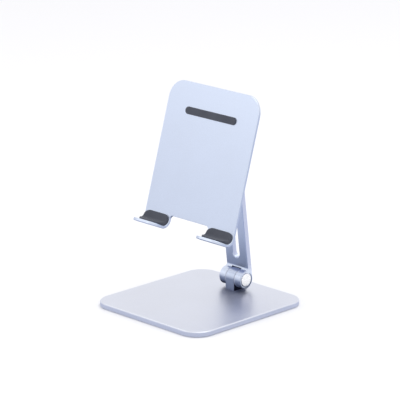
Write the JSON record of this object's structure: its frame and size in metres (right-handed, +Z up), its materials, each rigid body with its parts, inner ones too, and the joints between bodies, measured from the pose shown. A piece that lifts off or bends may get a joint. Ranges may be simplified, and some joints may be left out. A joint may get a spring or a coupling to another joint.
{
  "type": "tablet stand",
  "caption": "Adjustable desk stand for a tablet or phone: weighted flat base, slotted arm and hooked panel, joined by friction hinges, with rubber pads.",
  "frame": {"origin": "on the table, under the middle of the base", "axes": "+X to the user's right, +Y to the back, +Z up"},
  "size_m": [0.12, 0.125, 0.1762],
  "materials": {
    "base_metal": "satin",
    "frame_metal": "satin",
    "cap_metal": "satin",
    "steel": "satin",
    "washer_plastic": "matte",
    "rubber": "matte"
  },
  "bodies": {
    "base": {"base_plate": "base_metal", "base_mat": "rubber", "base_lug": "frame_metal", "lug_screws": "steel"},
    "arm": {"arm": "frame_metal", "lower_bolt": "steel", "lower_nut": "steel", "lower_disc_springs": "steel", "lower_washers": "washer_plastic", "lower_cap_left": "cap_metal", "lower_cap_right": "cap_metal", "upper_bolt": "steel", "upper_nut": "steel", "upper_disc_springs": "steel", "upper_washers": "washer_plastic", "upper_cap_left": "cap_metal", "upper_cap_right": "cap_metal"},
    "panel": {"panel": "frame_metal", "panel_bracket": "frame_metal", "bracket_screws": "steel", "top_pad": "rubber", "hook_pad_left": "rubber", "hook_pad_right": "rubber"}
  },
  "joints": [
    {"name": "base_hinge", "type": "hinge", "parent": "base", "child": "arm", "pos_m": [0, 0.0415, 0.0139], "axis": [1, 0, 0], "range_deg": [-25, 40]},
    {"name": "panel_hinge", "type": "hinge", "parent": "arm", "child": "panel", "pos_m": [0, 0.02387, 0.15097], "axis": [1, 0, 0], "range_deg": [-75, 25]}
  ]
}
